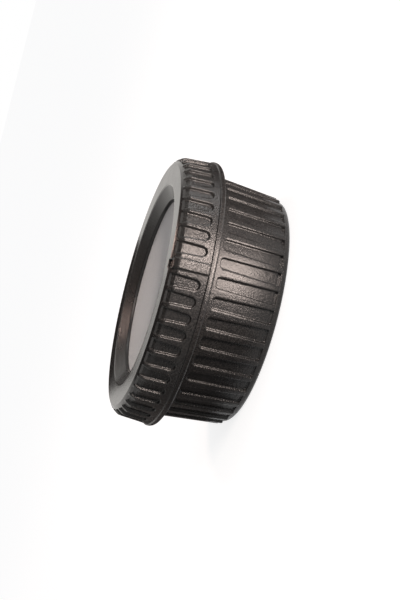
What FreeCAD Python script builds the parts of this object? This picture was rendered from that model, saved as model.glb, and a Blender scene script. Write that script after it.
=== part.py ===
import FreeCAD, Part
import math
import os
import Sketcher
from FreeCAD import Vector
from types import SimpleNamespace

# Camera body cap locked onto a lens rear cap by a three-claw bayonet.
# Each cap is one moulding. Millimetres. +Z runs from the rear cap's closed base, at z = 0,
# to the body cap's face, and -Y passes through the index bar on the body cap's rim.

sizes = {
    # Rear cap: a cup that narrows to its base
    "rearHeight": 18.9,            # base to the mouth's edge
    "rearDraft": 4.9,              # degrees, the side to the axis
    "rearWall": 2.15,
    "rearFloor": 1.9,              # height of the inside floor above the base
    "rearFloorRound": 1.2,
    "mouthChamfer": 0.3,
    "baseRecessInset": 8.35,       # mouth's edge to the recess in the base
    "baseRecessDepth": 0.5,
    "lipHeight": 1.5,              # the plain lip below the grip
    "lipStep": 0.65,               # how far the lip stands in from the grip's lands
    "lipRound": 1.3,
    # Rear cap grip: pockets closed at the mouth end and open over the lip
    "sideSlotCount": 40,
    "sideSlotDepth": 0.5,
    "sideSlotEndHalf": 1.17,       # half width at the mouth end
    "sideSlotOpenHalf": 1.5,       # half width at the base end
    "sideSlotBand": 3.55,          # mouth's edge to the ends of the pockets
    "sideSlotCorner": 0.6,
    "sideSlotTurn": -2.9,          # degrees from the index bar to a pocket, caps locked
    # Rear cap bayonet: an inner ring with a gap for each claw, and a stop rib below each lug
    "lugDrop": 1.7,                # mouth's edge to the ring
    "lugThickness": 1.75,
    "gapSpare": 4.0,               # degrees between a lug and a claw in its gap
    "stopAngle": 3.0,
    "stopHeight": 2.0,             # from the ring down
    # How the caps sit on each other
    "skirtClearance": 0.45,        # skirt to the rear cap's mouth, round it
    "seatGap": 0.1,
    "lugClearance": 0.5,           # lugs to the collar
    "gapClearance": 0.4,           # gaps to the claws' ends
    "ribClearance": 1.0,           # stop ribs to the collar
    "clawClearance": 0.15,         # a claw's front to the lugs
    "stopClearance": 0.5,          # degrees, a claw's end to its stop
    # Body cap: face, recess, bevels, rim and skirt
    "faceHeight": 7.1,             # face above the ring that seats on the rear cap's mouth
    "plateThickness": 1.8,
    "faceWidth": 4.8,              # the flat ring of the face
    "recessRun": 3.3,              # the recess wall, seen from the front
    "recessDepth": 2.6,
    "recessStep": 0.75,            # steep foot of the recess wall
    "recessStepSlope": 0.15,
    "recessFloorThickness": 1.7,
    "faceBevelRadial": 1.0,        # bevel next to the face
    "bevelRadial": 0.8,            # bevel next to the rim
    "bevelAxial": 1.15,
    "rimTaper": 0.5,               # the rim's front is this much smaller than its rear
    "rimFrontHeight": 5.3,         # above the seat
    "capRadius": 31.0,
    "bandStep": 0.3,               # the plain rear band stands out from the rim
    "bandDrop": 1.1,               # its front edge lies this far behind the seat
    "skirtDepth": 2.55,            # its rear edge
    "shoulderRound": 1.1,
    "skirtThickness": 2.2,
    "seatInset": 0.75,             # mouth's edge to the outside of the seat ring
    "seatWidth": 1.7,
    # Body cap bayonet
    "clawCount": 3,
    "collarInset": 1.7,            # the collar stands inside the recess's edge
    "collarWall": 1.8,
    "collarDepth": 6.5,            # below the seat
    "clawReach": 2.0,              # out from the collar
    "clawThickness": 1.5,
    "clawAngle": 56.0,
    "clawChamfer": 0.4,
    # Body cap grip: pockets that run forward over the rim's bevel to its front edge
    "rimSlotCount": 52,            # one of these places holds the index bar
    "rimSlotDepth": 0.55,          # at the closed end
    "rimSlotEndHalf": 1.0,
    "rimSlotOpenHalf": 1.29,
    "rimSlotCorner": 0.75,
    "rimSlotBand": 1.1,            # plain band to the ends of the pockets
    # Index: a raised bar in one pocket's place, and a notch in the face's edge beside it
    "indexAngle": 4.2,
    "indexRise": 0.3,
    "notchWidth": 2.0,
    "notchReach": 1.1,             # in from the face's outer edge
    "notchDepth": 0.6,
}
indexTurn = -90                    # degrees from +X to the index bar
overcut = 0.6                      # how far a cut runs past the surface it opens

doc = FreeCAD.newDocument("body_and_rear_cap")
sheet = doc.addObject("Spreadsheet::Sheet", "Sizes")
for row, (alias, value) in enumerate(sizes.items(), start=1):
    sheet.set("A%d" % row, alias)
    sheet.set("B%d" % row, str(value))
    sheet.setAlias("B%d" % row, alias)
doc.recompute()


# Sizes that are worked out from the sheet

class Size:
    """A number together with the expression that gives it from the sheet."""

    def __init__(self, number, text=None):
        self.number = number
        self.text = text or "(%r)" % number

    def __add__(self, other):
        other = asSize(other)
        return Size(self.number + other.number, "(%s + %s)" % (self.text, other.text))

    def __sub__(self, other):
        other = asSize(other)
        return Size(self.number - other.number, "(%s - %s)" % (self.text, other.text))

    def __mul__(self, other):
        other = asSize(other)
        return Size(self.number * other.number, "(%s * %s)" % (self.text, other.text))

    def __truediv__(self, other):
        other = asSize(other)
        return Size(self.number / other.number, "(%s / %s)" % (self.text, other.text))

    def __rsub__(self, other):
        return asSize(other) - self

    def __rtruediv__(self, other):
        return asSize(other) / self

    def __neg__(self):
        return asSize(0) - self

    __radd__ = __add__
    __rmul__ = __mul__


def asSize(value):
    return value if isinstance(value, Size) else Size(value)


def sine(angle):
    return Size(math.sin(math.radians(angle.number)), "sin(%s)" % angle.text)


def cosine(angle):
    return Size(math.cos(math.radians(angle.number)), "cos(%s)" % angle.text)


def tangent(angle):
    return Size(math.tan(math.radians(angle.number)), "tan(%s)" % angle.text)


def slopeAngle(run, rise):
    """Degrees from the axis of a side that goes out by run over rise."""
    return Size(math.degrees(math.atan2(run.number, rise.number)),
                "atan2(%s; %s) / 1 deg" % (run.text, rise.text))


d = SimpleNamespace(**{alias: Size(value, "Sizes." + alias) for alias, value in sizes.items()})

# Radii, from the body cap's rim inwards
d.rimFrontRadius = d.capRadius - d.bandStep - d.rimTaper
d.skirtRadius = d.capRadius - d.skirtThickness
d.rearMouthRadius = d.skirtRadius - d.skirtClearance
d.baseRecessRadius = d.rearMouthRadius - d.baseRecessInset
d.seatRadius = d.rearMouthRadius - d.seatInset
d.recessRadius = d.rimFrontRadius - d.bevelRadial - d.faceBevelRadial - d.faceWidth
d.recessFloorRadius = d.recessRadius - d.recessRun
d.collarRadius = d.recessRadius - d.collarInset
d.clawRadius = d.collarRadius + d.clawReach
d.lugRadius = d.collarRadius + d.lugClearance
d.gapRadius = d.clawRadius + d.gapClearance
d.stopRadius = d.collarRadius + d.ribClearance


# Sketches and features

def originPlane(body, role):
    return next(item for item in body.Origin.OriginFeatures if item.Role == role)


def drawOutline(sketch, outline):
    """A closed outline of straight edges whose corners hold to the sheet."""
    corners = [(asSize(x), asSize(y)) for x, y in outline]
    points = [Vector(x.number, y.number, 0) for x, y in corners]
    for here, there in zip(points, points[1:] + points[:1]):
        sketch.addGeometry(Part.LineSegment(here, there), False)
    for edge in range(len(corners)):
        following = (edge + 1) % len(corners)
        sketch.addConstraint(Sketcher.Constraint("Coincident", edge, 2, following, 1))
    for edge, (x, y) in enumerate(corners):
        holdStart(sketch, edge, "DistanceX", -2, x)
        holdStart(sketch, edge, "DistanceY", -1, y)


def holdStart(sketch, edge, kind, axis, value):
    """Holds an edge's start on the axis, or at a distance from the origin."""
    if value.number == 0:
        sketch.addConstraint(Sketcher.Constraint("PointOnObject", edge, 1, axis))
        return
    constraint = Sketcher.Constraint(kind, -1, 1, edge, 1, value.number)
    sketch.setExpression("Constraints[%d]" % sketch.addConstraint(constraint), value.text)


def sectionSketch(body, name, outline, turn=None):
    """An outline in the plane of the axis: x is the radius and y the height."""
    sketch = body.newObject("Sketcher::SketchObject", name)
    sketch.AttachmentSupport = (originPlane(body, "XZ_Plane"), [""])
    sketch.MapMode = "FlatFace"
    if turn is not None:
        sketch.setExpression("AttachmentOffset", "placement(vector(0; 0; 0); "
                             "rotation(vector(0; 1; 0); %s))" % asSize(turn).text)
    drawOutline(sketch, outline)
    doc.recompute()
    return sketch


def turned(body, kind, name, sketch, angle=360):
    """A section turned about the axis, half of the angle to each side."""
    feature = body.newObject("PartDesign::" + kind, name)
    feature.Profile = sketch
    feature.ReferenceAxis = (sketch, ["V_Axis"])
    feature.Midplane = True
    feature.setExpression("Angle", asSize(angle).text)
    doc.recompute()
    return feature


def aroundAxis(body, name, feature, count):
    """Copies of a turned feature, all the way round the axis."""
    pattern = body.newObject("PartDesign::PolarPattern", name)
    pattern.Originals = [feature]
    pattern.Axis = (feature.Profile[0], ["V_Axis"])
    pattern.Angle = 360
    pattern.setExpression("Occurrences", count.text)
    body.Tip = pattern
    doc.recompute()


def slotCutter(name, turn, radius, height, tilt, depth, outline):
    """The shape of one pocket. Its floor lies in a plane through (radius, height) that
    leans in by tilt, with the outline's x across and y up the slope."""
    sketch = doc.addObject("Sketcher::SketchObject", name + "Outline")
    where = "vector(%s; %s; %s)" % ((radius * cosine(turn)).text, (radius * sine(turn)).text,
                                    height.text)
    facing = ("rotation(vector(0; 0; 1); %s) * rotation(vector(1; 1; 1); 120) * "
              "rotation(vector(1; 0; 0); %s)" % (turn.text, (-tilt).text))
    sketch.setExpression("Placement", "placement(%s; %s)" % (where, facing))
    drawOutline(sketch, outline)
    doc.recompute()
    cutter = doc.addObject("Part::Extrusion", name)
    cutter.Base = sketch
    cutter.DirMode = "Normal"
    cutter.Solid = True
    cutter.setExpression("LengthFwd", (depth + overcut).text)
    doc.recompute()
    return cutter


def cutRing(name, body, cutter, turns):
    """The body less the cutter, repeated at every turn about the axis."""
    copies = []
    for turn in turns:
        copy = cutter.Shape.copy()
        copy.rotate(Vector(0, 0, 0), Vector(0, 0, 1), turn)
        copies.append(copy)
    ring = doc.addObject("Part::Feature", name + "Pockets")
    ring.Shape = Part.makeCompound(copies)
    cut = doc.addObject("Part::Cut", name)
    cut.Base = body
    cut.Tool = ring
    cut.Refine = False
    doc.recompute()
    return cut


def bend(x, y, radius, start, steps=2):
    """The corners of a quarter round about (x, y), from start degrees and anticlockwise."""
    angles = [asSize(start + 90 * step / steps) for step in range(steps + 1)]
    return [(x + radius * cosine(angle), y + radius * sine(angle)) for angle in angles]


def slotOutline(openHalf, endHalf, openEnd, closedEnd, corner):
    """A slot that narrows from its open end up to a closed end with its corners cut off."""
    cornerX = endHalf - corner
    cornerY = closedEnd - corner
    return ([(-openHalf, openEnd), (openHalf, openEnd)] +
            bend(cornerX, cornerY, corner, 0, steps=1) +
            bend(-cornerX, cornerY, corner, 90, steps=1))


def flipped(outline):
    """The outline upside down."""
    return [(x, -y) for x, y in reversed(outline)]


# Heights and places that both caps share

seat = d.rearHeight + d.seatGap
lugUnder = d.rearHeight - d.lugDrop - d.lugThickness
clawPitch = 360 / d.clawCount
lockTurn = clawPitch - d.clawAngle - d.stopAngle - 2 * d.stopClearance


# Rear cap

def rearSide(height):
    """Outer radius of the grip's lands at a height."""
    return d.rearMouthRadius - (d.rearHeight - height) * tangent(d.rearDraft)


def rearInside(height):
    return rearSide(height) - d.rearWall


def makeRearCap():
    body = doc.addObject("PartDesign::Body", "RearCap")

    lipRadius = rearSide(d.lipHeight) - d.lipStep
    mouthFoot = d.rearHeight - d.mouthChamfer
    floorCorner = d.rearFloor + d.rearFloorRound
    cornerCentre = rearInside(floorCorner) - d.rearFloorRound
    lugTop = lugUnder + d.lugThickness
    section = [
        (0, d.baseRecessDepth),
        (d.baseRecessRadius, d.baseRecessDepth),
        (d.baseRecessRadius, 0),
        *bend(lipRadius - d.lipRound, d.lipRound, d.lipRound, -90),
        (lipRadius, d.lipHeight),
        (rearSide(d.lipHeight), d.lipHeight),
        (rearSide(mouthFoot), mouthFoot),
        (rearSide(mouthFoot) - d.mouthChamfer, d.rearHeight),
        (rearInside(d.rearHeight), d.rearHeight),
        (rearInside(lugTop), lugTop),
        (d.lugRadius, lugTop),
        (d.lugRadius, lugUnder),
        (rearInside(lugUnder), lugUnder),
        *reversed(bend(cornerCentre, floorCorner, d.rearFloorRound, -90, steps=1)),
        (0, d.rearFloor),
    ]
    turned(body, "Revolution", "Cup", sectionSketch(body, "CupSection", section))

    # A gap for each claw. It starts at a stop rib's far side.
    gapAngle = d.clawAngle + d.stopClearance + d.gapSpare
    gapMiddle = indexTurn - lockTurn + (d.gapSpare - d.stopClearance) / 2
    gapSection = [(d.lugRadius - overcut, lugUnder - overcut), (d.gapRadius, lugUnder - overcut),
                  (d.gapRadius, lugTop + overcut), (d.lugRadius - overcut, lugTop + overcut)]
    gap = turned(body, "Groove", "ClawGap",
                 sectionSketch(body, "ClawGapSection", gapSection, gapMiddle), gapAngle)
    aroundAxis(body, "ClawGaps", gap, d.clawCount)

    # A rib under the end of each lug stops the claw when the caps are locked
    stopTurn = indexTurn + (d.clawAngle + d.stopAngle) / 2 + d.stopClearance
    stopFoot = lugUnder - d.stopHeight
    lugMiddle = lugUnder + d.lugThickness / 2
    stopSection = [(d.stopRadius, stopFoot), (rearInside(stopFoot) + d.rearWall / 2, stopFoot),
                   (rearInside(stopFoot) + d.rearWall / 2, lugMiddle), (d.stopRadius, lugMiddle)]
    stop = turned(body, "Revolution", "StopRib",
                  sectionSketch(body, "StopSection", stopSection, stopTurn), d.stopAngle)
    aroundAxis(body, "StopRibs", stop, d.clawCount)

    # Grip pockets, open at the lip and closed below the mouth
    floorLength = (d.rearHeight - d.sideSlotBand - d.lipHeight) / cosine(d.rearDraft)
    slot = slotCutter(
        "SideSlot", indexTurn + d.sideSlotTurn,
        rearSide(d.lipHeight) - d.sideSlotDepth / cosine(d.rearDraft), d.lipHeight,
        d.rearDraft * -1, d.sideSlotDepth,
        slotOutline(d.sideSlotOpenHalf, d.sideSlotEndHalf, asSize(-overcut), floorLength,
                    d.sideSlotCorner))
    places = d.sideSlotCount.number
    cap = cutRing("RearGrip", body, slot, [360 / places * place for place in range(places)])
    cap.Label = "rear_cap"
    return cap


# Body cap

def makeBodyCap():
    body = doc.addObject("PartDesign::Body", "BodyCap")

    face = seat + d.faceHeight
    floor = face - d.recessDepth
    plateUnder = face - d.plateThickness
    floorUnder = floor - d.recessFloorThickness
    stepTop = floor + d.recessStep
    stepRadius = d.recessFloorRadius + d.recessStepSlope
    recessSlope = (d.recessDepth - d.recessStep) / (d.recessRadius - stepRadius)
    rimFront = seat + d.rimFrontHeight
    bevelRadius = d.rimFrontRadius - d.bevelRadial
    bevelFront = rimFront + d.bevelAxial
    band = seat - d.bandDrop
    edge = seat - d.skirtDepth
    rimRearRadius = d.capRadius - d.bandStep
    section = [
        (0, floor),
        (d.recessFloorRadius, floor),
        (stepRadius, stepTop),
        (d.recessRadius, face),
        (bevelRadius - d.faceBevelRadial, face),
        (bevelRadius, bevelFront),
        (d.rimFrontRadius, rimFront),
        (rimRearRadius, band),
        (d.capRadius, band),
        *reversed(bend(d.capRadius - d.shoulderRound, edge + d.shoulderRound,
                       d.shoulderRound, -90)),
        (d.skirtRadius, edge),
        (d.skirtRadius, plateUnder),
        (d.seatRadius, plateUnder),
        (d.seatRadius, seat),
        (d.seatRadius - d.seatWidth, seat),
        (d.seatRadius - d.seatWidth, plateUnder),
        (d.recessRadius, plateUnder),
        (d.collarRadius, plateUnder - (d.recessRadius - d.collarRadius) * recessSlope),
        (d.collarRadius, seat - d.collarDepth),
        (d.collarRadius - d.collarWall, seat - d.collarDepth),
        (d.collarRadius - d.collarWall, floorUnder),
        (0, floorUnder),
    ]
    turned(body, "Revolution", "Shell", sectionSketch(body, "ShellSection", section))

    # Claws that pass behind the rear cap's lugs
    clawTop = lugUnder - d.clawClearance
    clawFoot = clawTop - d.clawThickness
    collarMiddle = d.collarRadius - d.collarWall / 2
    clawSection = [(collarMiddle, clawTop), (collarMiddle, clawFoot),
                   (d.clawRadius - d.clawChamfer, clawFoot),
                   (d.clawRadius, clawFoot + d.clawChamfer), (d.clawRadius, clawTop)]
    claw = turned(body, "Revolution", "Claw",
                  sectionSketch(body, "ClawSection", clawSection, indexTurn), d.clawAngle)
    aroundAxis(body, "Claws", claw, d.clawCount)

    # Grip pockets: their floors lean in to meet the bevel's front edge
    slotPitch = 360 / d.rimSlotCount
    closedHeight = band + d.rimSlotBand
    closedRadius = (rimRearRadius - d.rimSlotDepth
                    - (rimRearRadius - d.rimFrontRadius) * d.rimSlotBand / (rimFront - band))
    floorLean = slopeAngle(closedRadius - bevelRadius, bevelFront - closedHeight)
    floorLength = (bevelFront - closedHeight) / cosine(floorLean)
    rimSlot = slotCutter(
        "RimSlot", indexTurn + slotPitch, closedRadius, closedHeight, floorLean,
        d.rimSlotDepth + d.bandStep,
        flipped(slotOutline(d.rimSlotOpenHalf, d.rimSlotEndHalf, -floorLength - overcut,
                            asSize(0), d.rimSlotCorner)))

    # Index bar: level with the rear band, it runs forward and over the bevel
    barRoot = rimRearRadius - 2 * d.indexRise
    indexSection = [(barRoot, band), (d.capRadius, band),
                    (d.rimFrontRadius + d.indexRise, rimFront), (bevelRadius, bevelFront),
                    (d.rimFrontRadius - 2 * d.indexRise, rimFront)]
    turned(body, "Revolution", "IndexBar",
           sectionSketch(body, "IndexSection", indexSection, indexTurn), d.indexAngle)

    # Notch in the face's edge in front of the bar
    notch = body.newObject("Sketcher::SketchObject", "NotchOutline")
    notch.AttachmentSupport = (originPlane(body, "XY_Plane"), [""])
    notch.MapMode = "FlatFace"
    notch.setExpression("AttachmentOffset", "placement(vector(0; 0; %s); "
                        "rotation(vector(0; 0; 1); %d))" % (face.text, indexTurn))
    notchInner = bevelRadius - d.faceBevelRadial - d.notchReach
    drawOutline(notch, [(notchInner, -d.notchWidth / 2), (bevelRadius, -d.notchWidth / 2),
                        (bevelRadius, d.notchWidth / 2), (notchInner, d.notchWidth / 2)])
    doc.recompute()
    cut = body.newObject("PartDesign::Pocket", "IndexNotch")
    cut.Profile = notch
    cut.setExpression("Length", d.notchDepth.text)
    doc.recompute()
    cap = cutRing("BodyGrip", body, rimSlot,
                  [slotPitch.number * place for place in range(d.rimSlotCount.number - 1)])
    cap.Label = "body_cap"
    return cap


# Build, test and write each piece

pieces = [makeRearCap(), makeBodyCap()]
doc.recompute()
for item in doc.Objects:
    if "Invalid" in item.State or "Error" in item.State:
        raise RuntimeError("%s failed: %s" % (item.Name, item.State))
os.makedirs("parts", exist_ok=True)
for piece in pieces:
    shape = piece.Shape
    if shape.isNull() or not shape.isValid() or len(shape.Solids) != 1:
        raise RuntimeError("%s is not one valid solid" % piece.Label)
    shape.exportStep("parts/%s.step" % piece.Label)
    print(piece.Label, "volume %.1f mm3," % shape.Volume, "faces", len(shape.Faces))
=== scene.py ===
import math
import bpy
import numpy as np
from mathutils import Matrix, Vector


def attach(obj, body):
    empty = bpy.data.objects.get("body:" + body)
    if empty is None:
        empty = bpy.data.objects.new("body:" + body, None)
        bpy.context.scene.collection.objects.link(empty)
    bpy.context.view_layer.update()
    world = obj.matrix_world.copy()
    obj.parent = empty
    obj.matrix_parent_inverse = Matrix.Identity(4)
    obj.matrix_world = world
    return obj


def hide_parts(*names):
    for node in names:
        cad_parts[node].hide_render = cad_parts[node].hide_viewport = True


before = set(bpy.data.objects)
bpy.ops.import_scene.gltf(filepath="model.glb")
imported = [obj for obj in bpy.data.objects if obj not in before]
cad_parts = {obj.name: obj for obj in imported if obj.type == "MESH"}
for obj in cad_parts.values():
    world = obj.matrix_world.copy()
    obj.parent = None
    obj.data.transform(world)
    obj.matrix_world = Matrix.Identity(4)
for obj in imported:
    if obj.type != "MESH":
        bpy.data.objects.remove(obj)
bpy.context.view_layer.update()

# A camera body cap locked onto a lens rear cap, both black moulded plastic with grip pockets.
# Sizes are millimetres and become metres when a mesh is made. +Z is the caps' axis, and -Y passes
# through the index bar.
# In the dictionaries R ends the name of a radius and Z that of a height.

mm = 0.001
indexAngle = -90.0          # degrees from +X to the index bar


def newObject(name, data):
    made = bpy.data.objects.new(name, data)
    bpy.context.scene.collection.objects.link(made)
    return made


def smooth(x):
    x = np.clip(x, 0.0, 1.0)
    return x * x * (3 - 2 * x)


def blend(x, start, over):
    # 0 up to the start, 1 once x is past it by this distance
    return smooth((x - start) / over)


def edgeMask(inside, width):
    # 0 outside a wall, 1 inside it, turning over the wall's width
    return smooth(inside / width + 0.5)


# Turned meshes: rows of points about the axis, with fine columns where the grip is

meshing = {
    "columns": 20,                          # in each place of a fine row
    "every": 4,                             # other rows keep one column in this many
    # shares of a place's columns: between a pocket's walls, and up to the outside of the walls
    "insideShare": 0.5, "wallShare": 0.8,
    "bends": 4,                             # points round a corner
    "wideRound": 0.5, "wideBends": 8,       # the same for corners wider than this
    "ringColumns": 121, "lugColumns": 30, "stopColumns": 4,
}


def roundedPath(corners):
    # corners are (radius, height, mark, step, round); mark and step hold up to the next corner
    rows = []
    points = [Vector(corner[:2]) for corner in corners]
    rounds = [corner[4] if len(corner) > 4 else 0.0 for corner in corners]
    for i, (corner, here) in enumerate(zip(corners, points)):
        mark, step = corner[2:4]
        leave = here
        if rounds[i]:
            start = here + (points[i - 1] - here).normalized() * rounds[i]
            leave = here + (points[i + 1] - here).normalized() * rounds[i]
            bends = meshing["wideBends"] if rounds[i] > meshing["wideRound"] else meshing["bends"]
            for k in range(bends):
                t = k / bends
                spot = start * (1 - t) ** 2 + here * 2 * t * (1 - t) + leave * t ** 2
                rows.append((spot.x, spot.y, mark))
        rows.append((leave.x, leave.y, mark))
        if i + 1 == len(corners):
            break
        arrive = points[i + 1] + (here - points[i + 1]).normalized() * rounds[i + 1]
        steps = max(1, math.ceil((arrive - leave).length / step))
        for k in range(1, steps):
            spot = leave.lerp(arrive, k / steps)
            rows.append((spot.x, spot.y, mark))
    return rows


def lengthTo(rows, mark):
    # from the first row to the first one with this mark
    first = [row[2] for row in rows].index(mark)
    return sum(math.dist(row[:2], nextRow[:2]) for row, nextRow in zip(rows[:first], rows[1:]))


def fineSpan(fine, j):
    # the fine row's points from plain column j to the next one
    every = meshing["every"]
    return [fine[(j * every + k) % len(fine)] for k in range(every + 1)]


def facesBetween(near, far):
    # near and far are two rows' point numbers: a single point, plain columns or fine ones
    nextNear, nextFar = np.roll(near, -1), np.roll(far, -1)
    if len(near) == 1:
        return np.stack([np.full(len(far), near[0]), far, nextFar], 1).tolist()
    if len(far) == 1:
        return np.stack([near, np.full(len(near), far[0]), nextNear], 1).tolist()
    if len(near) == len(far):
        return np.stack([near, far, nextFar, nextNear], 1).tolist()
    if len(near) < len(far):
        return [[near[j], *fineSpan(far, j), nextNear[j]] for j in range(len(near))]
    return [[far[j], nextFar[j], *fineSpan(near, j)[::-1]] for j in range(len(far))]


def turnedMesh(rows, fineMarks, places, firstAngle, shape):
    # shape(r, z, path, normal, place, t) gives (across, r, z) for a fine row
    radius = np.array([row[0] for row in rows])
    height = np.array([row[1] for row in rows])
    marks = [row[2] for row in rows]
    path = np.concatenate([[0.0], np.cumsum(np.hypot(np.diff(radius), np.diff(height)))])
    slopeR, slopeZ = np.gradient(radius, path), np.gradient(height, path)
    slope = np.hypot(slopeR, slopeZ)
    normals = np.stack([-slopeZ / slope, slopeR / slope], 1)
    place = np.repeat(np.arange(places), meshing["columns"])
    t = np.tile(-1 + 2 * np.arange(meshing["columns"]) / meshing["columns"], places)
    centre = math.radians(firstAngle) + place * 2 * math.pi / places
    plainAngle = (centre + t * math.pi / places)[::meshing["every"]]
    points, rings, total = [], [], 0
    for r, z, mark, along, normal in zip(radius, height, marks, path, normals):
        if r == 0:
            ring = np.array([[0.0, 0.0, z]])
        elif mark in fineMarks:
            across, newR, newZ = shape(r, z, along, normal, place, t)
            angle = centre + across / r
            ring = np.stack([newR * np.cos(angle), newR * np.sin(angle), newZ], 1)
        else:
            level = np.full(len(plainAngle), z)
            ring = np.stack([r * np.cos(plainAngle), r * np.sin(plainAngle), level], 1)
        points.append(ring)
        rings.append(np.arange(total, total + len(ring)))
        total += len(ring)
    faces, faceMarks = [], []
    for near, far, mark in zip(rings, rings[1:], marks):
        made = facesBetween(near, far)
        faces += made
        faceMarks += [mark] * len(made)
    return np.concatenate(points), faces, faceMarks


def sectorMesh(outline, middle, width, columns):
    # a closed outline of (radius, height) swept about the axis, with flat ends
    angles = np.radians(middle + np.linspace(-width / 2, width / 2, columns))
    points = [[r * math.cos(a), r * math.sin(a), z] for a in angles for r, z in outline]
    count = len(outline)
    lastColumn = (columns - 1) * count
    faces = []
    for first in range(0, lastColumn, count):
        for k in range(count):
            after = (k + 1) % count
            faces.append([first + k, first + after, first + count + after, first + count + k])
    faces.append(list(range(count))[::-1])
    faces.append([lastColumn + k for k in range(count)])
    return np.array(points), faces, ["inside"] * len(faces)


def makePiece(name, parts):
    # joins meshes into one object, with a material slot for each finish
    points = np.concatenate([part[0] for part in parts]) * mm
    faces, marks, start = [], [], 0
    for partPoints, partFaces, partMarks in parts:
        faces += [[int(v) + start for v in face] for face in partFaces]
        marks += partMarks
        start += len(partPoints)
    mesh = bpy.data.meshes.new(name)
    mesh.from_pydata(points.tolist(), [], faces)
    slots = list(dict.fromkeys(finishes.values()))
    for material in slots:
        mesh.materials.append(material)
    mesh.polygons.foreach_set("material_index", [slots.index(finishes[mark]) for mark in marks])
    mesh.polygons.foreach_set("use_smooth", [True] * len(faces))
    mesh.update()
    return newObject(name, mesh)


# Nodes that more than one material needs

def feed(links, socket, value):
    # value is another node's output, or a plain value
    if isinstance(value, bpy.types.NodeSocket):
        links.new(value, socket)
    else:
        socket.default_value = value


def mathNode(nodes, links, operation, *values):
    node = nodes.new("ShaderNodeMath")
    node.operation = operation
    for socket, value in zip(node.inputs, values):
        feed(links, socket, value)
    return node.outputs[0]


def mixColours(nodes, links, factor, first, second):
    node = nodes.new("ShaderNodeMix")
    node.data_type = "RGBA"
    for number, value in ((0, factor), (6, first), (7, second)):    # 6 and 7 are the two colours
        feed(links, node.inputs[number], value)
    return node.outputs[2]                                          # the mixed colour


def mapRange(nodes, links, value, lowAndHigh, to=(0.0, 1.0)):
    node = nodes.new("ShaderNodeMapRange")
    for name, limit in zip(("From Min", "From Max", "To Min", "To Max"), (*lowAndHigh, *to)):
        node.inputs[name].default_value = limit
    links.new(value, node.inputs["Value"])
    return node.outputs["Result"]


# Black plastic: fine grain for the colour and the bump, broad blotches for the roughness

plastic = {
    "black": (0.006, 0.006, 0.0062), "worn": (0.016, 0.0156, 0.0152),
    "wornFrom": (0.42, 0.62),                   # grain heights that turn black to worn
    "blotchScale": 120.0, "blotchRange": (0.3, 0.7),
    "grainDetail": 2.0, "grainRoughness": 0.6, "blotchDetail": 3.0, "grainHeight": 0.0002,
    "ringPitch": 0.36, "ringHeight": 0.000015, "ringStrength": 1.0,     # turning rings
    # finishes: gloss, roughness, grain's scale per metre and its bump's strength
    "satinFacePlastic": {"gloss": 0.5, "roughness": (0.16, 0.22), "grain": 4200.0, "bump": 0.03},
    "turnedPlastic": {"gloss": 0.3, "roughness": (0.26, 0.34), "grain": 4200.0, "bump": 0.03,
                      "ringsBetween": (20.6, 23.5)},
    "grainedGripPlastic": {"gloss": 0.31, "roughness": (0.23, 0.31), "grain": 2900.0, "bump": 0.45},
    "innerPlastic": {"gloss": 0.31, "roughness": (0.5, 0.6), "grain": 4200.0, "bump": 0.03},
    "mattePlastic": {"gloss": 0.5, "roughness": (0.4, 0.5), "grain": 2900.0, "bump": 0.35,
                     "sheen": 0.92},
}


def makeGrainGroup():
    group = bpy.data.node_groups.new("mouldedGrain", "ShaderNodeTree")
    for name, direction in (("Grain Scale", "INPUT"), ("Blotch Scale", "INPUT"),
                            ("Height", "OUTPUT"), ("Blotch", "OUTPUT")):
        group.interface.new_socket(name=name, in_out=direction, socket_type="NodeSocketFloat")
    nodes, links = group.nodes, group.links
    inputs, outputs = nodes.new("NodeGroupInput"), nodes.new("NodeGroupOutput")
    place = nodes.new("ShaderNodeTexCoord")
    grain, blotch = nodes.new("ShaderNodeTexNoise"), nodes.new("ShaderNodeTexNoise")
    grain.inputs["Detail"].default_value = plastic["grainDetail"]
    grain.inputs["Roughness"].default_value = plastic["grainRoughness"]
    blotch.inputs["Detail"].default_value = plastic["blotchDetail"]
    for noise, scale, result in ((grain, "Grain Scale", "Height"),
                                 (blotch, "Blotch Scale", "Blotch")):
        links.new(place.outputs["Object"], noise.inputs["Vector"])
        links.new(inputs.outputs[scale], noise.inputs["Scale"])
        links.new(noise.outputs["Fac"], outputs.inputs[result])
    return group


def addRings(nodes, links, bump, between):
    # concentric rings between two radii, in a bump that the grain's bump builds on
    place = nodes.new("ShaderNodeTexCoord")
    flat, length = nodes.new("ShaderNodeVectorMath"), nodes.new("ShaderNodeVectorMath")
    flat.operation, length.operation = "MULTIPLY", "LENGTH"
    flat.inputs[1].default_value = (1, 1, 0)
    links.new(place.outputs["Object"], flat.inputs[0])
    links.new(flat.outputs["Vector"], length.inputs[0])
    radius = length.outputs["Value"]
    turns = mathNode(nodes, links, "MULTIPLY", radius, 2 * math.pi / (plastic["ringPitch"] * mm))
    wave = mathNode(nodes, links, "SINE", turns)
    inner = mathNode(nodes, links, "GREATER_THAN", radius, between[0] * mm)
    outer = mathNode(nodes, links, "LESS_THAN", radius, between[1] * mm)
    both = mathNode(nodes, links, "MULTIPLY", inner, outer)
    ringBump = nodes.new("ShaderNodeBump")
    ringBump.inputs["Strength"].default_value = plastic["ringStrength"]
    ringBump.inputs["Distance"].default_value = plastic["ringHeight"]
    links.new(mathNode(nodes, links, "MULTIPLY", wave, both), ringBump.inputs["Height"])
    links.new(ringBump.outputs["Normal"], bump.inputs["Normal"])


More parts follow.
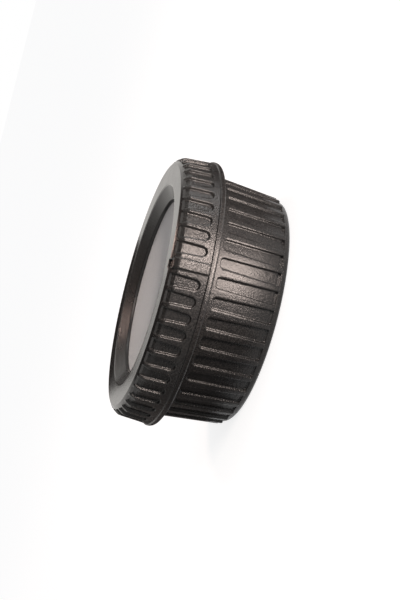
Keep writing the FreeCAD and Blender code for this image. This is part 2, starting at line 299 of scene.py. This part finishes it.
def makeFinish(name):
    look = plastic[name]
    material = bpy.data.materials.new(name)
    material.use_nodes = True
    nodes, links = material.node_tree.nodes, material.node_tree.links
    shader = nodes["Principled BSDF"]
    shader.inputs["Specular IOR Level"].default_value = look["gloss"]
    shader.inputs["Sheen Weight"].default_value = look.get("sheen", 0.0)
    grain = nodes.new("ShaderNodeGroup")
    grain.node_tree = grainGroup
    grain.inputs["Grain Scale"].default_value = look["grain"]
    grain.inputs["Blotch Scale"].default_value = plastic["blotchScale"]
    worn = mapRange(nodes, links, grain.outputs["Height"], plastic["wornFrom"])
    colour = mixColours(nodes, links, worn, (*plastic["black"], 1), (*plastic["worn"], 1))
    links.new(colour, shader.inputs["Base Color"])
    roughness = mapRange(nodes, links, grain.outputs["Blotch"], plastic["blotchRange"],
                         look["roughness"])
    links.new(roughness, shader.inputs["Roughness"])
    bump = nodes.new("ShaderNodeBump")
    bump.inputs["Strength"].default_value = look["bump"]
    bump.inputs["Distance"].default_value = plastic["grainHeight"]
    links.new(grain.outputs["Height"], bump.inputs["Height"])
    links.new(bump.outputs["Normal"], shader.inputs["Normal"])
    if "ringsBetween" in look:
        addRings(nodes, links, bump, look["ringsBetween"])
    return material


grainGroup = makeGrainGroup()
satin = makeFinish("satinFacePlastic")
turned = makeFinish("turnedPlastic")
grip = makeFinish("grainedGripPlastic")
inner = makeFinish("innerPlastic")
matte = makeFinish("mattePlastic")
finishes = {"satin": satin, "matte": matte, "turned": turned, "notch": satin, "bevel": grip,
            "lip": grip, "rim": grip, "band": grip, "inside": inner}      # by the rows' marks
print("finishes made")


# Grip pockets, shared by both caps

def halfWidth(pockets, along):
    # half the pocket's width, halfway up its walls, from the open end to the closed one
    share = np.clip(along / pockets["length"], 0, 1)
    return pockets["openHalf"] + (pockets["closedHalf"] - pockets["openHalf"]) * share


def pocketMask(pockets, across, along):
    # 1 between the walls and 0 outside, with round corners at the closed end
    side = halfWidth(pockets, along) - np.abs(across)
    end = pockets["length"] - along
    corner = pockets["corner"]
    inCorner = (side < corner) & (end < corner)
    rounded = corner - np.hypot(corner - side, corner - end)
    return edgeMask(np.where(inCorner, rounded, np.minimum(side, end)), pockets["wall"])


def gatherColumns(t, halfPitch, middle, wall, amount):
    # moves the evenly spaced columns towards the walls; amount 0 leaves them as they are
    near, far = middle - wall / 2, middle + wall / 2
    inside, upTo = meshing["insideShare"], meshing["wallShare"]
    size = np.abs(t)
    onWall = near + (size - inside) / (upTo - inside) * (far - near)
    beyond = far + (size - upTo) / (1 - upTo) * (halfPitch - far)
    gathered = np.where(size < inside, size / inside * near, np.where(size < upTo, onWall, beyond))
    even = t * halfPitch
    return even + (np.sign(t) * gathered - even) * amount


# Body cap: face, recess, bevels, rim with pockets and index bar, skirt, seat ring and collar

bodyCap = {
    "faceR": 28.4, "faceZ": 26.1, "recessR": 23.6, "stepR": 20.45, "stepZ": 24.25,
    "floorR": 20.3, "floorZ": 23.5, "bevelR": 29.4, "bevelZ": 25.45, "rimR": 30.2, "rimZ": 24.3,
    "landR": 30.7, "bandZ": 17.9, "bandStep": 0.12, "capR": 31.0, "edgeZ": 16.45, "shoulder": 1.1,
    "skirtR": 28.8, "plateZ": 24.3, "seatR": 27.6, "seatInR": 25.9, "seatZ": 19.0, "slopeZ": 23.3,
    "collarR": 21.9, "collarInR": 20.1, "collarZ": 12.5, "underFloorZ": 21.8,
    "claws": 3, "clawR": 23.9, "clawZ": (13.8, 15.3), "clawAngle": 56.0, "clawRoot": 0.5,
    "clawChamfer": 0.4,
    "closeRowsR": 26.9, "closeRowsZ": 20.8,     # beyond these the rows are closer
    "grip": {
        "places": 52, "closedZ": 18.95, "openHalf": 1.29, "closedHalf": 1.0,
        "corner": 0.85, "wall": 0.22, "depth": 0.6, "bevelDepth": 0.45,
        "bevelBlendFrom": 0.1, "bevelBlend": 0.3,   # how far behind the bevel the depth changes
        "frontInset": 0.1, "frontWall": 0.16,       # the open end, on the bevel
        # columns gather from this radius on the face, this height on the rim, over the second value
        "gatherFace": (26.7, 0.6), "gatherRim": (18.0, 0.5),
    },
    "bar": {"half": 1.13, "rise": 0.34, "wall": 0.12, "ramp": 0.35, "levelFrom": 1.0},
    "notch": {"half": 1.0, "wall": 0.14, "innerR": 27.3, "innerWall": 0.2, "floorZ": 25.5,
              "backZ": 25.4},
}

rimDrop = bodyCap["rimZ"] - bodyCap["bandZ"]
rimFlare = bodyCap["landR"] - bodyCap["rimR"]
closeRowsR = bodyCap["rimR"] + rimFlare * (bodyCap["rimZ"] - bodyCap["closeRowsZ"]) / rimDrop
bodyRows = roundedPath([
    (0, bodyCap["floorZ"], "matte", 2.5),
    (bodyCap["floorR"], bodyCap["floorZ"], "turned", 0.4, 0.12),
    (bodyCap["stepR"], bodyCap["stepZ"], "turned", 0.35, 0.14),
    (bodyCap["recessR"], bodyCap["faceZ"], "satin", 0.6, 0.3),
    (bodyCap["closeRowsR"], bodyCap["faceZ"], "notch", 0.2),
    (bodyCap["faceR"], bodyCap["faceZ"], "notch", 0.24, 0.14),
    (bodyCap["bevelR"], bodyCap["bevelZ"], "bevel", 0.16, 0.1),
    (bodyCap["rimR"], bodyCap["rimZ"], "rim", 0.6, 0.28),
    (closeRowsR, bodyCap["closeRowsZ"], "rim", 0.15),
    (bodyCap["landR"], bodyCap["bandZ"], "rim", 0.1, 0.08),
    (bodyCap["capR"], bodyCap["bandZ"] - bodyCap["bandStep"], "band", 0.4, 0.08),
    (bodyCap["capR"], bodyCap["edgeZ"], "band", 0.4, bodyCap["shoulder"]),
    (bodyCap["skirtR"], bodyCap["edgeZ"], "inside", 2.0, 0.15),
    (bodyCap["skirtR"], bodyCap["plateZ"], "inside", 1.5, 0.3),
    (bodyCap["seatR"], bodyCap["plateZ"], "inside", 2.0, 0.2),
    (bodyCap["seatR"], bodyCap["seatZ"], "inside", 2.0, 0.12),
    (bodyCap["seatInR"], bodyCap["seatZ"], "inside", 2.0, 0.12),
    (bodyCap["seatInR"], bodyCap["plateZ"], "inside", 2.0, 0.2),
    (bodyCap["recessR"], bodyCap["plateZ"], "inside", 2.0),
    (bodyCap["collarR"], bodyCap["slopeZ"], "inside", 3.0),
    (bodyCap["collarR"], bodyCap["collarZ"], "inside", 2.0, 0.2),
    (bodyCap["collarInR"], bodyCap["collarZ"], "inside", 3.0, 0.2),
    (bodyCap["collarInR"], bodyCap["underFloorZ"], "inside", 3.0),
    (0, bodyCap["underFloorZ"], "inside", 1.0),
])
rimStart = lengthTo(bodyRows, "rim")
bevelLength = math.hypot(bodyCap["rimR"] - bodyCap["bevelR"], bodyCap["bevelZ"] - bodyCap["rimZ"])
rimTaper = math.atan2(rimFlare, rimDrop)
bodyPockets = dict(bodyCap["grip"])
bodyPockets["length"] = (bodyCap["rimZ"] - bodyPockets["closedZ"]) / math.cos(rimTaper)


def bodyCapShape(r, z, path, normal, place, t):
    pockets, bar, notch = bodyPockets, bodyCap["bar"], bodyCap["notch"]
    isIndex = place == 0
    along = path - rimStart                     # down the rim; below zero on the bevel
    middle = np.where(isIndex, bar["half"], halfWidth(pockets, max(along, 0.0)))
    wall = np.where(isIndex, bar["wall"], pockets["wall"])
    onFace = z > bodyCap["bevelZ"]
    amount = blend(r, *pockets["gatherFace"]) if onFace else blend(z, *pockets["gatherRim"])
    across = gatherColumns(t, r * math.pi / pockets["places"], middle, wall, amount)

    onBevel = blend(-along, -pockets["bevelBlendFrom"], pockets["bevelBlend"])
    depth = pockets["depth"] + (pockets["bevelDepth"] - pockets["depth"]) * onBevel
    front = edgeMask(along + bevelLength - pockets["frontInset"], pockets["frontWall"])
    sink = np.where(isIndex, 0.0, depth * front * pocketMask(pockets, across, along))

    rise = bar["rise"]
    if along > bar["levelFrom"]:                # from here the bar runs level into the band
        rise = min(rise, max(bodyCap["capR"] - r, 0.0))
    rise = rise * blend(along, -bevelLength, bar["ramp"])
    lift = np.where(isIndex, rise * edgeMask(bar["half"] - np.abs(across), bar["wall"]), 0.0) - sink
    newR, newZ = r + normal[0] * lift, z + normal[1] * lift

    if z > notch["backZ"]:
        cut = edgeMask(notch["half"] - np.abs(across), notch["wall"]) * isIndex
        cut = cut * edgeMask(r - notch["innerR"], notch["innerWall"])
        newZ = newZ - cut * np.maximum(newZ - notch["floorZ"], 0.0)
    return across, newR, newZ


bodyParts = [turnedMesh(bodyRows, {"notch", "bevel", "rim"}, bodyPockets["places"], indexAngle,
                        bodyCapShape)]
low, high = bodyCap["clawZ"]
root, tip = bodyCap["collarR"] - bodyCap["clawRoot"], bodyCap["clawR"]
chamfer = bodyCap["clawChamfer"]
outline = [(root, high), (tip, high), (tip, low + chamfer), (tip - chamfer, low), (root, low)]
for claw in range(bodyCap["claws"]):
    bodyParts.append(sectorMesh(outline, indexAngle + claw * 360 / bodyCap["claws"],
                                bodyCap["clawAngle"], meshing["lugColumns"]))
bodyPiece = makePiece("bodyCapMoulding", bodyParts)
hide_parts("body_cap")
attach(bodyPiece, "body_cap")
print("body cap made:", len(bodyPiece.data.polygons), "faces")


# Rear cap: a cup with longer pockets outside, and a lug ring with gaps and stops inside

rearCap = {
    "mouthR": 28.35, "mouthZ": 18.9, "mouthRound": 0.25, "draft": 4.9, "wall": 2.15,
    "floorZ": 1.9, "floorRound": 1.2, "landZ": 1.5, "landRound": 0.2,
    "lipR": 26.2, "lipZ": 1.38, "lipRound": 1.3, "baseR": 20.0, "baseZ": 0.5,
    "closeRowsZ": (16.6, 14.2, 2.7),    # rows are closer between the first two and below the last
    "lugs": 3, "lugR": 22.4, "lugZ": (15.45, 17.2), "lugAngle": 59.5, "lugTurn": 1.75,
    "ledgeR": 24.3, "stopR": 22.9, "stopZ": 13.45, "stopAngle": 3.0, "stopTurn": 30.0,
    "ledgeRoot": 0.3, "lugRoot": 0.2, "stopRoot": 0.4,  # how far each reaches into what holds it
    "grip": {
        "places": 40, "turn": -2.9, "closedZ": 15.35, "openHalf": 1.5, "closedHalf": 1.17,
        "corner": 0.62, "wall": 0.22, "depth": 0.55,
        "toeZ": 2.2, "toeWall": 0.12, "toeGroove": 0.3,     # the shallow groove at the open end
        "gatherTopZ": 16.5, "gatherTop": 0.7,   # columns gather below this height, over this far
        "gatherLipZ": 1.6, "gatherLip": 0.1,    # and less near the lip, below this height
    },
}
onLip = 0.01                # closer than this to the lip's radius counts as on it
draft = math.radians(rearCap["draft"])


def rearSide(z):
    return rearCap["mouthR"] - (rearCap["mouthZ"] - z) * math.tan(draft)


upperZ, middleZ, lowerZ = rearCap["closeRowsZ"]
rearRows = roundedPath([
    (0, rearCap["floorZ"], "inside", 3.0),
    (rearSide(rearCap["floorZ"]) - rearCap["wall"], rearCap["floorZ"], "inside", 3.0,
     rearCap["floorRound"]),
    (rearCap["mouthR"] - rearCap["wall"], rearCap["mouthZ"], "lip", 1.0, 0.15),
    (rearCap["mouthR"], rearCap["mouthZ"], "lip", 0.5, rearCap["mouthRound"]),
    (rearSide(upperZ), upperZ, "rim", 0.1),
    (rearSide(middleZ), middleZ, "rim", 0.7),
    (rearSide(lowerZ), lowerZ, "rim", 0.1),
    (rearSide(rearCap["landZ"]), rearCap["landZ"], "rim", 0.12, rearCap["landRound"]),
    (rearCap["lipR"], rearCap["landZ"], "rim", 0.3, 0.06),
    (rearCap["lipR"], rearCap["lipZ"], "lip", 0.4),
    (rearCap["lipR"], 0, "lip", 0.8, rearCap["lipRound"]),
    (rearCap["baseR"], 0, "lip", 0.4, 0.15),
    (rearCap["baseR"], rearCap["baseZ"], "lip", 3.0, 0.15),
    (0, rearCap["baseZ"], "inside", 1.0),
])
rearPockets = dict(rearCap["grip"])
rearPockets["length"] = (rearPockets["closedZ"] - rearCap["landZ"]) / math.cos(draft)


def rearCapShape(r, z, path, normal, place, t):
    pockets, lipR = rearPockets, rearCap["lipR"]
    along = (z - rearCap["landZ"]) / math.cos(draft)        # from the open end up to the closed one
    amount = blend(-z, -pockets["gatherTopZ"], pockets["gatherTop"])
    if z <= pockets["gatherLipZ"]:
        amount = amount * blend(r, lipR - onLip, pockets["gatherLip"])
    across = gatherColumns(t, r * math.pi / pockets["places"], halfWidth(pockets, max(along, 0.0)),
                           pockets["wall"], amount)

    toeDepth = r - lipR + pockets["toeGroove"] if r > lipR + onLip else 0.0
    toe = edgeMask(pockets["toeZ"] - z, pockets["toeWall"])
    depth = pockets["depth"] + (toeDepth - pockets["depth"]) * toe
    return across, r - depth * pocketMask(pockets, across, along), np.full(len(t), z)


rearParts = [turnedMesh(rearRows, {"rim"}, rearPockets["places"], indexAngle + rearPockets["turn"],
                        rearCapShape)]
low, high = rearCap["lugZ"]
ledgeR, lugR, stopR, stopZ = (rearCap[name] for name in ("ledgeR", "lugR", "stopR", "stopZ"))
wallR = rearSide(low) - rearCap["wall"] + rearCap["ledgeRoot"]
lugRootR, stopTop = ledgeR + rearCap["lugRoot"], low + rearCap["stopRoot"]
ledgeOutline = [(ledgeR, high), (wallR, high), (wallR, low), (ledgeR, low)]
lugOutline = [(lugR, high), (lugRootR, high), (lugRootR, low), (lugR, low)]
stopOutline = [(stopR, stopTop), (wallR, stopTop), (wallR, stopZ), (stopR, stopZ)]
rearParts.append(sectorMesh(ledgeOutline, 0, 360, meshing["ringColumns"]))
for lug in range(rearCap["lugs"]):
    turn = indexAngle + lug * 360 / rearCap["lugs"]
    rearParts.append(sectorMesh(lugOutline, turn + rearCap["lugTurn"], rearCap["lugAngle"],
                                meshing["lugColumns"]))
    rearParts.append(sectorMesh(stopOutline, turn + rearCap["stopTurn"], rearCap["stopAngle"],
                                meshing["stopColumns"]))
rearPiece = makePiece("rearCapMoulding", rearParts)
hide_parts("rear_cap")
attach(rearPiece, "rear_cap")
print("rear cap made:", len(rearPiece.data.polygons), "faces")


# Stage: a white floor that keeps the caps' shadow, cards that only reflections show, and lamps.
# Its sizes are metres. Turns and azimuths are degrees from the index bar, anticlockwise seen
# from the face.

studio = {
    "floorHalf": 3.0, "floorDrop": 0.00005, "floorGrey": 0.45, "floorGlow": 0.78,
    "ambient": (0.4, 0.4, 0.41), "seenInGloss": (0.97, 0.94, 0.9),
    "paleCard": 0.22, "blackCard": 0.015, "cardColumns": 60,
    # curved cards: their turns, and the (radius, height) of both edges
    "floorCard": ((50, 340), ((0.034, 0.0004), (0.5, 0.0004))),
    "fenceCard": ((70, 290), ((0.062, 0.0), (0.062, 0.024))),
    # flat cards: their corners
    "backCard": [(-0.027, 0.036, 0.0255), (0.022, 0.036, 0.0255), (0.01, 0.036, 0.035),
                 (-0.016, 0.036, 0.035)],
    "skyCard": [(-0.32, -0.32, 0.33), (0.32, -0.32, 0.33), (0.32, 0.32, 0.33), (-0.32, 0.32, 0.33)],
    "aimZ": 0.013,
    "keyPanel": {"azimuth": 22.0, "elevation": 7.0, "distance": 0.3, "size": (0.11, 0.06),
                 "power": 1.4, "colour": (1.0, 0.84, 0.76)},
    "sidePanel": {"azimuth": 76.0, "elevation": 6.0, "distance": 0.4, "size": (0.18, 0.08),
                  "power": 0.35, "colour": (1.0, 1.0, 1.0)},
    "overheadPanel": {"azimuth": 139.0, "elevation": 62.0, "distance": 0.3, "size": (0.05, 0.03),
                      "power": 0.22, "colour": (1.0, 0.72, 0.62)},
    "lowReflector": {"place": (0.0085, -0.053, 0.002), "turn": 25.0, "size": (0.024, 0.026),
                     "power": 0.056, "colour": (1.0, 0.84, 0.76)},
}


def whiteToTheEye(nodes, links, lightPath):
    # 1 for the camera, and for what is seen in a gloss or through glass
    reflected = mathNode(nodes, links, "MAXIMUM", lightPath.outputs["Is Glossy Ray"],
                         lightPath.outputs["Is Transmission Ray"])
    return mathNode(nodes, links, "MAXIMUM", reflected, lightPath.outputs["Is Camera Ray"])


def makeFloor():
    half, grey = studio["floorHalf"], studio["floorGrey"]
    mesh = bpy.data.meshes.new("floor")
    mesh.from_pydata([(-half, -half, 0), (half, -half, 0), (half, half, 0), (-half, half, 0)], [],
                     [(0, 1, 2, 3)])
    floor = newObject("floor", mesh)
    floor.location.z = -studio["floorDrop"]
    material = bpy.data.materials.new("paleFloor")
    material.use_nodes = True
    nodes, links = material.node_tree.nodes, material.node_tree.links
    nodes.clear()
    output, both = nodes.new("ShaderNodeOutputMaterial"), nodes.new("ShaderNodeAddShader")
    diffuse, glow = nodes.new("ShaderNodeBsdfDiffuse"), nodes.new("ShaderNodeEmission")
    diffuse.inputs["Color"].default_value = (grey, grey, grey, 1)
    seen = whiteToTheEye(nodes, links, nodes.new("ShaderNodeLightPath"))
    strength = mathNode(nodes, links, "MULTIPLY", seen, studio["floorGlow"])
    links.new(strength, glow.inputs["Strength"])
    links.new(diffuse.outputs[0], both.inputs[0])
    links.new(glow.outputs[0], both.inputs[1])
    links.new(both.outputs[0], output.inputs["Surface"])
    mesh.materials.append(material)


def makeWorld():
    # white behind the caps, dimmer as a light on them and tinted in their reflections
    world = bpy.data.worlds.new("studio")
    bpy.context.scene.world = world
    world.use_nodes = True
    nodes, links = world.node_tree.nodes, world.node_tree.links
    lightPath = nodes.new("ShaderNodeLightPath")
    shown = mixColours(nodes, links, lightPath.outputs["Is Glossy Ray"], (1, 1, 1, 1),
                       (*studio["seenInGloss"], 1))
    seen = whiteToTheEye(nodes, links, lightPath)
    links.new(mixColours(nodes, links, seen, (*studio["ambient"], 1), shown),
              nodes["Background"].inputs["Color"])


def makeCard(name, grey, points, faces):
    mesh = bpy.data.meshes.new(name)
    mesh.from_pydata(points, [], faces)
    card = newObject(name, mesh)
    material = bpy.data.materials.new(name)
    material.use_nodes = True
    shader = material.node_tree.nodes["Principled BSDF"]
    shader.inputs["Base Color"].default_value = (grey, grey, grey, 1)
    shader.inputs["Roughness"].default_value = 1.0
    mesh.materials.append(material)
    card.visible_camera = card.visible_diffuse = card.visible_shadow = False
    card.visible_transmission = False


def makeCurvedCard(name):
    turns, edges = studio[name]
    angles = np.radians(indexAngle + np.linspace(*turns, studio["cardColumns"]))
    points = [(r * math.cos(a), r * math.sin(a), z) for a in angles for r, z in edges]
    makeCard(name, studio["paleCard"], points,
             [(k, k + 1, k + 3, k + 2) for k in range(0, len(points) - 2, 2)])


def makeFlatCard(name):
    makeCard(name, studio["blackCard"], studio[name], [(0, 1, 2, 3)])


def newPanel(name):
    panel = studio[name]
    light = bpy.data.lights.new(name, "AREA")
    light.shape = "RECTANGLE"
    light.size, light.size_y = panel["size"]
    light.energy, light.color = panel["power"], panel["colour"]
    return newObject(name, light)


def makeLamp(name):
    lamp, panel = newPanel(name), studio[name]
    turn, rise = math.radians(indexAngle + panel["azimuth"]), math.radians(panel["elevation"])
    lamp.location = Vector((math.cos(turn) * math.cos(rise), math.sin(turn) * math.cos(rise),
                            math.sin(rise))) * panel["distance"]
    aim = Vector((0, 0, studio["aimZ"])) - lamp.location
    lamp.rotation_euler = aim.to_track_quat("-Z", "Y").to_euler()


def makeReflector(name):
    # lies face up in front of the rear cap, out of the camera's sight
    lamp, panel = newPanel(name), studio[name]
    lamp.location = panel["place"]
    lamp.rotation_euler = (math.pi, 0, math.radians(panel["turn"]))
    lamp.visible_camera = False


makeFloor()
makeWorld()
makeCurvedCard("floorCard")         # round the caps, open towards the key panel
makeFlatCard("backCard")            # behind the body cap
makeCurvedCard("fenceCard")         # a low fence behind both caps
makeFlatCard("skyCard")             # overhead
makeLamp("keyPanel")
makeReflector("lowReflector")
makeLamp("sidePanel")
makeLamp("overheadPanel")


# Camera at the photograph's angle: turned about the axis from the index bar, and rolled

camera = {
    "turn": -11.54, "distance": 294.3, "height": 71.2, "focalPixels": 1303.6, "framePixels": 600,
    "aim": (0.19529, 0.96096, -0.1962), "up": (0.95881, -0.14496, 0.2443),
    "sensorHeight": 24.0, "clipStart": 0.01,
}


def makeCamera():
    lens = bpy.data.cameras.new("camera")
    lens.sensor_fit = "VERTICAL"
    lens.sensor_height = camera["sensorHeight"]
    lens.lens = camera["focalPixels"] * camera["sensorHeight"] / camera["framePixels"]
    lens.clip_start = camera["clipStart"]
    view = newObject("camera", lens)
    turn = math.radians(indexAngle + camera["turn"])
    place = Vector((camera["distance"] * math.cos(turn), camera["distance"] * math.sin(turn),
                    camera["height"])) * mm
    back = -Vector(camera["aim"]).normalized()
    right = Vector(camera["up"]).cross(back).normalized()
    up = back.cross(right)
    facing = Matrix((right, up, back)).transposed().to_4x4()
    view.matrix_world = Matrix.Translation(place) @ facing
    bpy.context.scene.camera = view


makeCamera()
bpy.context.scene.view_settings.view_transform = "Standard"
print("stage, lamps and camera made")
